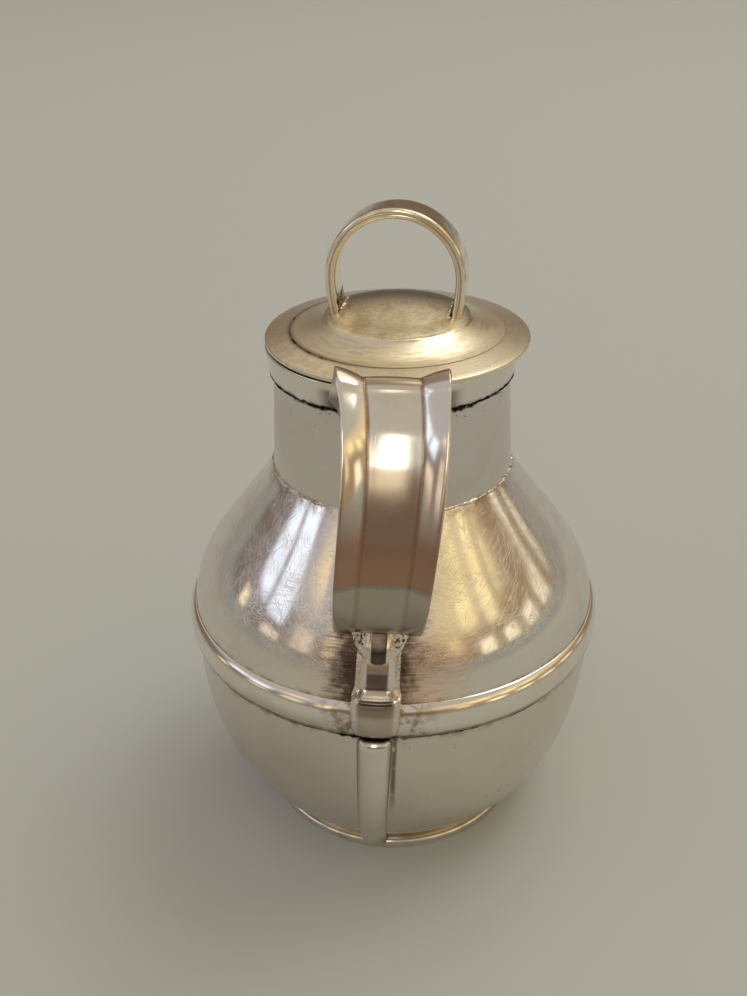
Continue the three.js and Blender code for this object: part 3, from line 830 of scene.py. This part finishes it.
def through(corners, steps):
    """Evenly spaced points on a centripetal curve through the corners, and its length."""
    knots = [Vector(c) for c in corners]
    knots = [knots[0] * 2 - knots[1]] + knots + [knots[-1] * 2 - knots[-2]]
    dense = []
    for i in range(1, len(knots) - 2):
        p = knots[i - 1:i + 3]
        t = [0.0]
        for a, b in zip(p, p[1:]):
            t.append(t[-1] + math.sqrt((b - a).length))
        for k in range(24):
            u = t[1] + (t[2] - t[1]) * k / 24
            a1 = p[0].lerp(p[1], (u - t[0]) / (t[1] - t[0]))
            a2 = p[1].lerp(p[2], (u - t[1]) / (t[2] - t[1]))
            a3 = p[2].lerp(p[3], (u - t[2]) / (t[3] - t[2]))
            b1 = a1.lerp(a2, (u - t[0]) / (t[2] - t[0]))
            b2 = a2.lerp(a3, (u - t[1]) / (t[3] - t[1]))
            dense.append(b1.lerp(b2, (u - t[1]) / (t[2] - t[1])))
    dense.append(knots[-2])
    lengths = [0.0]
    for a, b in zip(dense, dense[1:]):
        lengths.append(lengths[-1] + (b - a).length)
    spaced = []
    for k in range(steps + 1):
        s = lengths[-1] * k / steps
        spaced.append(Vector([float(np.interp(s, lengths, [q[j] for q in dense])) for j in range(2)]))
    return spaced, lengths[-1]


def smooth(value, low, high):
    """0 up to low and 1 from high on, with a smooth step between."""
    t = min(max((value - low) / (high - low), 0), 1)
    return t * t * (3 - 2 * t)


handle_steps = 190
handle_path, handle_length = through(handle_corners, handle_steps)
handle_rings = []
groove_marks = []
along_marks = []
for i, middle in enumerate(handle_path):
    t = i / handle_steps
    travelled = t * handle_length
    along = (handle_path[min(i + 1, handle_steps)] - handle_path[max(i - 1, 0)]).normalized()
    outward = Vector((-along.y, along.x))
    ending = smooth(travelled, handle_length - 13.0, handle_length - 5.5)
    closing = smooth(travelled, handle_length - 2.4, handle_length)
    flare = 0.7 * (1 - smooth(travelled, 6.2, 12.3))
    cut_corner = 3.4 * (1 - smooth(travelled, 0.0, 2.8))
    width = handle_top_width + (handle_foot_width - handle_top_width) * t
    half = (width + flare - 1.6 * closing - cut_corner) / 2
    groove = (panel_top_width + (panel_foot_width - panel_top_width) * t) / 2
    rise = handle_rise * smooth(travelled, 2.2, 7.6) * (1 - ending) + 0.15 * ending
    bow = handle_bow * math.sin(math.pi * t * (1 + 0.56 * (1 - t)))
    thin = 1 - 0.35 * closing
    section = softened([
        (-half, rise, 0.34),
        (-groove, 0.0, 0.22),
        (groove, 0.0, 0.22),
        (half, rise, 0.34),
        (half, rise - handle_edge * thin, 0.34),
        (groove + 0.44, -handle_thick * thin, 0.6),
        (-groove - 0.44, -handle_thick * thin, 0.6),
        (-half, rise - handle_edge * thin, 0.34),
    ], 5, 7)
    ring = []
    for px, py in section:
        up_flange = min(max(abs(px) - groove, 0) / (half - groove), 1)
        outer = py > -0.3 * handle_thick and py > rise * up_flange - 0.3
        if outer and abs(px) < groove:
            py += 0.13 * (1 - (px / groove) ** 2)
        elif outer:
            across = (abs(px) - groove) / (half - groove)
            py += 0.16 * across * (1 - across) * 4
        reach = middle.x + outward.x * py
        height = middle.y + outward.y * py
        side = bow + px
        if height > collar_low.z - 1.0:
            least = math.sqrt(max((collar_radius + 0.12) ** 2 - side ** 2, 0))
            if height > collar_high.z + 0.05:
                least = math.sqrt(max((lid_reach - 0.05) ** 2 - side ** 2, 0))
            reach = max(reach, least)
        ring.append(Vector((jug_x + side, jug_y - reach, height)))
        groove_marks.append(abs(px) - groove if outer else 9.0)
        along_marks.append(travelled)
    handle_rings.append(ring)
handle = Silver("handle_silver")
handle.polished((0.88, 0.83, 0.74), (0.72, 0.60, 0.46), 0.13, 0.015)
handle.hairlines(0.0005, (85, 95, 20))
off_groove = abs(handle.mark("off_groove"))
along_strap = handle.mark("along_strap")
handle.tarnish(off_groove.ease(0.42, 0.08) * (handle.film * 0.5 + 0.45), (0.22, 0.10, 0.05))
# Painted reflection: dull brown bands across the crest, between its two bright lines, stand for the dark back
# of the room mirrored there.
handle.tarnish(along_strap.ease(4.0, 5.0) * along_strap.ease(7.4, 6.6) * 0.55, (0.30, 0.20, 0.13))
handle.tarnish(abs(along_strap - 7.6).ease(0.6, 0.25) * 0.8, (0.38, 0.28, 0.19))
# Painted shade: the root of the strap, tucked against the collar, is darkened to a mauve brown.
handle.tarnish(along_strap.ease(4.3, 2.6) * 0.8, (0.22, 0.18, 0.17))
# Painted reflections of the room: a brown band from 64 mm down to 53 mm, a darker line at 53 mm, and
# grey-beige below it like a mirrored floor.
handle.tarnish(handle.z.ease(64.0, 57.0) * handle.z.ease(52.6, 53.4) * 0.9, (0.38, 0.20, 0.12))
handle.tarnish(handle.z.ease(53.4, 52.6) * 0.85, (0.40, 0.35, 0.28))
handle.tarnish(abs(handle.z - 53.0).ease(0.5, 0.1) * 0.5, (0.20, 0.17, 0.14))
handle.done()
piece(
    "handle_silver", *skinned(handle_rings), handle, "jug", "bright_silver", "handle",
    marks={"off_groove": groove_marks, "along_strap": along_marks},
)


# Plug ring of the lid
# A plain strip rolled to a ring and soldered under the plate. It drops into the neck and keeps the loose
# lid in place.

bezel_low, bezel_high = extent("lid_bezel")
bezel_radius = (bezel_high.x - bezel_low.x) / 2
bezel_wall = 0.7
bezel_outline = softened([
    (bezel_radius - bezel_wall, bezel_low.z, 0.15),
    (bezel_radius, bezel_low.z, 0.3),
    (bezel_radius, bezel_high.z, 0.0),
    (bezel_radius - bezel_wall, bezel_high.z, 0.0),
], 4, 3)
bezel = Silver("lid_bezel_silver", lid_axis)
bezel.polished((0.80, 0.75, 0.66), (0.62, 0.50, 0.38), 0.26)
bezel.lathe_lines(0.002)
bezel.tarnish(bezel.film.ease(0.45, 0.7) * 0.5)
bezel.done()
piece("lid_bezel_silver", *turned(bezel_outline, lid_axis), bezel, "lid", "brushed_silver", "lid_bezel")


# Lid plate
# A shallow cone of sheet that overhangs the collar all round. Its satin face is mottled with brown
# tarnish on one side.

lid_edge = 0.6
plate_hole = 12.93
plate_slope = math.tan(math.radians(11))


def plate_top(radius):
    """Height of the plate's upper face at a radius."""
    return lid_low.z + lid_edge + (lid_radius - radius) * plate_slope


plate_outline = softened([
    (plate_hole, plate_top(plate_hole) - lid_edge, 0.1),
    (lid_radius, plate_top(lid_radius) - lid_edge, 0.22),
    (lid_radius, plate_top(lid_radius), 0.22),
    (plate_hole, plate_top(plate_hole), 0.1),
], 4, 4)
plate = Silver("lid_plate_silver", lid_axis)
plate.polished((0.95, 0.88, 0.72), (0.76, 0.63, 0.44), 0.27, 0.03)
plate.lathe_lines(0.006, 3.0, 3.2)
plate.tarnish(plate.streaks.ease(0.50, 0.64) * 0.3, (0.52, 0.40, 0.26))
left_side = plate.x.ease(2.0, -11.0)
mottle = plate.cloud(0.9, 5.0, 0.7).ease(0.42, 0.6)
plate_seam = plate.radius.ease(14.3, 13.65)
plate.tarnish(mottle * left_side * 0.3, (0.50, 0.37, 0.24))
plate.tarnish(plate_seam * (left_side * 0.7 + 0.15), (0.20, 0.12, 0.08))
plate.grime_and_painted_shade((plate_seam * left_side * 0.6 + mottle * 0.3).ease(0.6, 0.85))
plate.done()
piece("lid_plate_silver", *turned(plate_outline, lid_axis, 224), plate, "lid", "brushed_silver", "lid_plate")


# Raised centre of the lid
# A spun cap soldered on the plate: a hollow slope up to a crisp edge, and a low dome inside it. It has
# round brushing, a bright patch in front, brown stains on the dome and painted shade over its back half.

centre_low, centre_high = extent("lid_centre")
centre_radius = (centre_high.x - centre_low.x) / 2
centre_foot = plate_top(centre_radius) + 0.05
centre_rise = 1.75
dome_radius = 9.25
dome_edge = centre_foot + centre_rise
sheet = 0.75

slope = bezier(
    (centre_radius, centre_foot),
    (centre_radius - 1.6, centre_foot + 0.22),
    (dome_radius + 1.5, centre_foot + 0.75),
    (dome_radius + 0.16, dome_edge - 0.12),
    18,
)
dome_rise = centre_high.z - dome_edge
dome_sphere = (dome_radius ** 2 + dome_rise ** 2) / (2 * dome_rise)
dome = []
for k in range(25):
    radius = (dome_radius - 0.16) * (1 - k / 24)
    dome.append(Vector((radius, centre_high.z - dome_sphere + math.sqrt(dome_sphere ** 2 - radius ** 2))))
edge_corner = bezier(
    slope[-1], (dome_radius + 0.05, dome_edge), (dome_radius - 0.02, dome_edge + 0.02), dome[0], 4,
)
centre_outer = slope + edge_corner[1:-1] + dome
centre_inner = offset(centre_outer, -sheet)[2:-1]
centre_outline = (
    centre_outer
    + [Vector((0, centre_high.z - sheet))]
    + centre_inner[::-1]
    + [Vector((centre_radius - sheet, plate_top(centre_radius - sheet) + 0.05))]
)
centre = Silver("lid_centre_silver", lid_axis)
centre.polished((0.88, 0.80, 0.62), (0.74, 0.60, 0.39), 0.33, 0.03)
centre.lathe_lines(0.018, 4.5, 2.6)
centre.tarnish(centre.streaks.ease(0.48, 0.62) * 0.4, (0.52, 0.40, 0.24))
on_dome = centre.radius.ease(10.0, 8.5)
crisp_edge = abs(centre.radius - dome_radius).ease(0.5, 0.15)
centre.base = centre.blend(crisp_edge * 0.7, centre.base, colour(0.97, 0.90, 0.68))
centre.rough = centre.rough - crisp_edge * 0.14
dome_stain = on_dome * centre.cloud(0.35, 4.0, 0.7).ease(0.48, 0.66)
centre.tarnish(dome_stain * 0.5, (0.38, 0.26, 0.14))
# Painted shade: the back half of the dome is darkened.
centre.tarnish(on_dome * centre.y.ease(0.0, 6.0) * 0.9, (0.14, 0.12, 0.10))
centre.tarnish(centre.x.ease(0.0, -9.0) * (1 - on_dome) * 0.35, (0.60, 0.54, 0.47))
centre_seam = centre.radius.ease(12.9, 13.6)
centre.tarnish(centre_seam * centre.x.ease(4.0, -8.0) * 0.7, (0.28, 0.18, 0.11))
centre.done()
piece(
    "lid_centre_silver", *turned(centre_outline, lid_axis, 224), centre,
    "lid", "brushed_silver", "lid_centre",
)


# Loop of the lid
# A flat silver strap bent to a horseshoe and soldered upright on the lid's dome, to lift the lid by. Its
# edges are rounded by wear, and a tarnished groove runs along the middle of each side.

loop_high = extent("lid_loop")[1]
loop_radius = 8.1
loop_thick = 1.3
loop_width = 4.9
loop_corner = 0.58
loop_spread = 7.4
loop_turn = math.radians(-4)
loop_centre = loop_high.z - loop_radius - loop_thick / 2
leg_drop = loop_centre - (dome_edge - 0.35)
leg_radius = (leg_drop ** 2 + (loop_radius - loop_spread) ** 2) / (2 * (loop_radius - loop_spread))
loop_line = []
for k in range(16):
    down = leg_drop * (1 - k / 16)
    reach = loop_radius - leg_radius + math.sqrt(leg_radius ** 2 - down ** 2)
    loop_line.append(Vector((-reach, loop_centre - down)))
for k in range(73):
    angle = math.pi * (1 - k / 72)
    loop_line.append(Vector((loop_radius * math.cos(angle), loop_centre + loop_radius * math.sin(angle))))
loop_line += [Vector((-p.x, p.y)) for p in loop_line[15::-1]]


def on_loop(flat, aside):
    """A point of the loop's upright plane, moved aside along the strap's width."""
    return Vector((
        lid_x + flat.x * math.cos(loop_turn) - aside * math.sin(loop_turn),
        lid_y + flat.x * math.sin(loop_turn) + aside * math.cos(loop_turn),
        flat.y,
    ))


loop_rings = []
aside_marks = []
through_marks = []
for i, middle in enumerate(loop_line):
    along = (loop_line[min(i + 1, len(loop_line) - 1)] - loop_line[max(i - 1, 0)]).normalized()
    outward = Vector((-along.y, along.x))
    ring = []
    for px, py in softened([
        (-loop_width / 2, -loop_thick / 2, loop_corner),
        (loop_width / 2, -loop_thick / 2, loop_corner),
        (loop_width / 2, loop_thick / 2, loop_corner),
        (-loop_width / 2, loop_thick / 2, loop_corner),
    ], 6, 3):
        ring.append(on_loop(middle + outward * py, px))
        aside_marks.append(px)
        through_marks.append(py)
    loop_rings.append(ring)
loop = Silver("loop_silver", lid_axis)
loop.polished((0.97, 0.92, 0.76), (0.84, 0.72, 0.50), 0.15, 0.035)
aside = loop.mark("aside")
across = loop.mark("across")
loop.bump(abs(across).ease(0.22, 0.0) * abs(aside).ease(2.2, 2.4), -0.09)
loop.tarnish(abs(across).ease(0.20, 0.02) * abs(aside).ease(2.2, 2.4) * 0.55, (0.30, 0.18, 0.10))
loop.tarnish(across.ease(0.3, 0.6) * loop.film.ease(0.42, 0.62) * 0.5, (0.40, 0.28, 0.18))
inside_foot = across.ease(-0.3, -0.6) * loop.z.ease(78.5, 75.5)
loop.grime_and_painted_shade((inside_foot * 0.5 + loop.cloud(1.2, 3.0, 0.7) * 0.6).ease(0.68, 0.85))
loop.done()
piece(
    "lid_loop_silver", *skinned(loop_rings), loop, "lid", "bright_silver", "lid_loop",
    marks={"aside": aside_marks, "across": through_marks},
)


# Solder at the neck
# A thin crumpled fillet of bright hard solder that ran round the joint of neck and shoulder. It has
# pinholes and a brown film in patches.

def bead(path, size, seed):
    """Vertices and faces of a crumpled tube along a path. Its radius comes from a function of the share
    travelled."""
    sides = 10
    closed = (path[0] - path[-1]).length < 1e-6
    if closed:
        path = path[:-1]
    count = len(path)
    rings = []
    for i, point in enumerate(path):
        before = path[i - 1] if closed or i else point
        after = path[(i + 1) % count] if closed or i < count - 1 else point
        along = (after - before).normalized()
        side = along.cross(Vector((0, 0, 1)))
        if side.length < 0.1:
            side = along.cross(Vector((0, 1, 0)))
        side.normalize()
        up = side.cross(along)
        radius = size(i / count)
        ring = []
        for k in range(sides):
            angle = 2 * math.pi * k / sides
            out = side * math.cos(angle) + up * math.sin(angle)
            lump = noise.noise((point + out * radius) * 1.7 + Vector((seed, 0, 0)))
            fine = noise.noise((point + out * radius) * 5.0 + Vector((0, seed, 0)))
            ring.append(point + out * radius * (1 + 0.55 * lump + 0.25 * fine))
        rings.append(ring)
    if not closed:
        return skinned(rings)
    vertices, faces = skinned(rings)
    faces = faces[:-2]
    last = (count - 1) * sides
    for j in range(sides):
        b = (j + 1) % sides
        faces.append((last + j, last + b, b, j))
    return vertices, faces


def circle(radius, height, steps):
    """Points round the jug's axis, with the last in the place of the first."""
    points = []
    for k in range(steps + 1):
        angle = 2 * math.pi * k / steps
        points.append(Vector((jug_x + radius * math.cos(angle), jug_y + radius * math.sin(angle), height)))
    return points


def uneven(thick, change, seed):
    """Radius of a bead, which changes by up to a share of its thickness as it runs on."""
    return lambda t: max(thick * (1 + change * 2 * noise.noise(Vector((t * 40, 0, seed)))), 0.03)


solder = Silver("solder_silver")
solder.polished((0.88, 0.84, 0.77), (0.60, 0.46, 0.32), 0.16, 0.03)
solder.bump(solder.cloud(2.4, 3.0, 0.65), 0.12)
solder.tarnish(solder.film.ease(0.46, 0.66) * 0.65, (0.28, 0.17, 0.10))
solder.grime_and_painted_shade(solder.pits(2.4, 0.22) * solder.cloud(0.5).ease(0.45, 0.6))
solder.done()
neck_joint = circle(neck_base_radius + 0.06, shoulder_high.z + 0.02, 560)
piece("neck_solder", *bead(neck_joint, uneven(0.20, 0.3, 3), 2.0), solder, "jug", "tarnished_silver")


# Dark solder under the collar and the moulding
# The seams under the collar and under the moulding were never cleaned. Their thin rough solder is burnt
# black, with brighter lumps where a cloth touches it.

burnt_solder = Silver("burnt_solder")
burnt_solder.polished((0.40, 0.33, 0.24), (0.17, 0.12, 0.08), 0.34, 0.03)
burnt_solder.bump(burnt_solder.cloud(2.8, 3.0, 0.65), 0.14)
burnt_solder.grime_and_painted_shade(burnt_solder.cloud(0.9, 3.0, 0.7).ease(0.34, 0.50))
burnt_solder.done()
collar_joint = circle(collar_foot_radius, collar_low.z - 0.02, 560)
piece(
    "collar_solder", *bead(collar_joint, uneven(0.07, 0.7, 9), 5.0), burnt_solder, "jug", "tarnished_silver",
)
band_joint = circle(body_radius(band_low.z) + 0.03, band_low.z - 0.02, 900)
piece("band_solder", *bead(band_joint, uneven(0.07, 0.7, 14), 8.0), burnt_solder, "jug", "tarnished_silver")


# Solder of the loop
# Rough bright lumps of hard solder that hold the loop's two feet on the dome. They were left as they
# cooled.

def dome_top(reach):
    """Height of the dome at a distance from its middle."""
    return centre_high.z - dome_sphere + math.sqrt(dome_sphere ** 2 - min(reach, dome_radius - 0.2) ** 2)


loop_solder = Silver("loop_solder", lid_axis)
loop_solder.polished((0.95, 0.88, 0.66), (0.62, 0.47, 0.28), 0.17, 0.03)
loop_solder.bump(loop_solder.cloud(2.2, 3.0, 0.65), 0.12)
loop_solder.done()
for foot_name, foot_side in (("left", -1), ("right", 1)):
    joint = []
    for k in range(25):
        aside_way = -loop_width / 2 - 0.1 + (loop_width + 0.2) * k / 24
        flat = Vector((foot_side * (loop_spread - loop_thick / 2), 0))
        spot = on_loop(flat, aside_way)
        reach = math.hypot(spot.x - lid_x, spot.y - lid_y)
        joint.append(Vector((spot.x, spot.y, dome_top(reach) + 0.05)))
    piece(
        "loop_solder_" + foot_name, *bead(joint, uneven(0.26, 0.3, 30 + foot_side), 17.0 + foot_side),
        loop_solder, "lid", "tarnished_silver",
    )


# Floor, lamps and camera
# A plain pale floor, two soft lamps from the right, a studio room of windows and a ceiling that the
# silver mirrors, and the camera at the photograph's angle.

floor_mesh = bpy.data.meshes.new("floor")
floor_half = 25.0
floor_mesh.from_pydata([
    (-floor_half, -floor_half, 0),
    (floor_half, -floor_half, 0),
    (floor_half, floor_half, 0),
    (-floor_half, floor_half, 0),
], [], [(0, 1, 2, 3)])
floor = bpy.data.objects.new("floor", floor_mesh)
bpy.context.scene.collection.objects.link(floor)
floor_finish = bpy.data.materials.new("floor_paint")
Paint(floor_finish, "Principled BSDF").feed(Base_Color=colour(0.53, 0.55, 0.54), Roughness=0.9)
floor_mesh.materials.append(floor_finish)

world = bpy.data.worlds.new("studio")
bpy.context.scene.world = world
room = Paint(world, "Background")
x, y, z = room.parts(room.node("ShaderNodeTexCoord"))
level = (x * x + y * y + 1e-6) ** 0.5
elevation = z.angle(level) * math.degrees(1)
azimuth = x.angle(y) * math.degrees(1)
right = azimuth.ease(20.0, 80.0) * azimuth.ease(170.0, 140.0)
left = azimuth.ease(-160.0, -140.0) * azimuth.ease(-50.0, -90.0)
back = abs(azimuth).ease(60.0, 20.0)
above = elevation.ease(22.0, 34.0)
walls = room.blend(right, colour(0.17, 0.12, 0.085), colour(0.36, 0.25, 0.15))
walls = room.blend(left, walls, colour(0.22, 0.18, 0.17))
walls = room.blend(elevation.ease(8.0, 6.0), walls, colour(0.31, 0.31, 0.29))
ceiling = room.blend(left, colour(0.50, 0.47, 0.40), colour(0.50, 0.47, 0.48))
ceiling = room.blend(back, ceiling, colour(0.58, 0.51, 0.38))
ceiling = room.blend(right * elevation.ease(46.0, 38.0), ceiling, colour(0.86, 0.70, 0.40))
light = room.blend(above, walls, ceiling)
windows = [
    # azimuth, elevation, width, height, colour
    (62, 12.5, 6, 7, (0.90, 0.84, 0.66)),
    (76, 13, 9, 8, (1.20, 1.12, 0.86)),
    (91, 13, 9, 9, (1.25, 1.15, 0.88)),
    (106, 13.5, 9, 9, (1.35, 1.22, 0.90)),
    (122, 14, 9, 11, (1.40, 1.26, 0.92)),
    (98, 31, 9, 7, (1.25, 1.02, 0.52)),
    (112, 29, 8, 9, (1.35, 1.10, 0.60)),
    (128, 32, 11, 8, (1.25, 1.02, 0.52)),
    (140, 22, 8, 12, (1.00, 0.80, 0.44)),
    (186, 43, 15, 30, (2.60, 2.45, 2.20)),
    (186, 23, 15, 8, (0.95, 0.78, 0.55)),
    (-110, 25.5, 13, 12, (1.20, 1.32, 1.55)),
    (-94, 25.5, 13, 12, (1.15, 1.27, 1.50)),
    (-87, 11.5, 6, 6, (1.40, 1.20, 0.78)),
    (-112, 11.5, 12, 6, (1.10, 0.92, 0.72)),
    (-132, 18, 12, 15, (0.90, 0.76, 0.62)),
    (-149, 23, 8, 18, (1.10, 0.90, 0.58)),
    (-128, 38, 14, 9, (1.05, 0.84, 0.52)),
    (5, 56, 34, 14, (0.80, 0.68, 0.44)),
]
for bearing, rise, width, height, tint in windows:
    aside = azimuth - bearing
    if bearing > 150:
        # The azimuth jumps from 180 to -180 behind the camera.
        aside = abs(aside).least(abs(azimuth - (bearing - 360)))
    over = abs(aside).ease(width / 2 + 1.2, width / 2 - 1.2)
    over = over * abs(elevation - rise).ease(height / 2 + 1.2, height / 2 - 1.2)
    light = room.blend(over, light, colour(*tint))
room.feed(Color=light, Strength=1.0)


def lamp(name, bearing, rise, distance, size, power, tint):
    """A square soft lamp that looks at the jug from a bearing (from +Y towards +X) and a rise in degrees."""
    light = bpy.data.lights.new(name, "AREA")
    light.shape = "SQUARE"
    light.size = size
    light.energy = power
    light.color = tint
    thing = bpy.data.objects.new(name, light)
    bpy.context.scene.collection.objects.link(thing)
    flat = math.cos(math.radians(rise))
    toward = Vector((
        flat * math.sin(math.radians(bearing)),
        flat * math.cos(math.radians(bearing)),
        math.sin(math.radians(rise)),
    ))
    thing.location = Vector((0, 0, 0.04)) + toward * distance
    thing.rotation_euler = (-toward).to_track_quat("-Z", "Y").to_euler()


lamp("lamp_back_right", 36, 60, 1.5, 0.80, 3.5, (1.0, 0.98, 0.94))
lamp("lamp_right", 74, 60, 1.5, 0.50, 2.1, (1.0, 0.95, 0.86))

camera_distance = 144.07
camera_height = 126.30
camera_turn = math.radians(4.2)
camera_yaw = -0.018
camera_pitch = 0.503
camera_roll = -0.012
picture_width = 747
focal_pixels = 1200
lens = bpy.data.cameras.new("camera")
lens.sensor_fit = "HORIZONTAL"
lens.sensor_width = 36
lens.lens = focal_pixels / picture_width * lens.sensor_width
lens.clip_start = 0.01
camera = bpy.data.objects.new("camera", lens)
bpy.context.scene.collection.objects.link(camera)
turn = Matrix.Rotation(camera_turn, 4, "Z")
camera_place = turn @ (Vector((0, -camera_distance, camera_height)) * MM)
camera.matrix_world = (
    Matrix.Translation(Vector((jug_x, jug_y, 0)) * MM + camera_place)
    @ turn
    @ Matrix.Rotation(-camera_yaw, 4, "Z")
    @ Matrix.Rotation(math.pi / 2 - camera_pitch, 4, "X")
    @ Matrix.Rotation(camera_roll, 4, "Z")
)
bpy.context.scene.camera = camera
bpy.context.scene.view_settings.view_transform = "Standard"
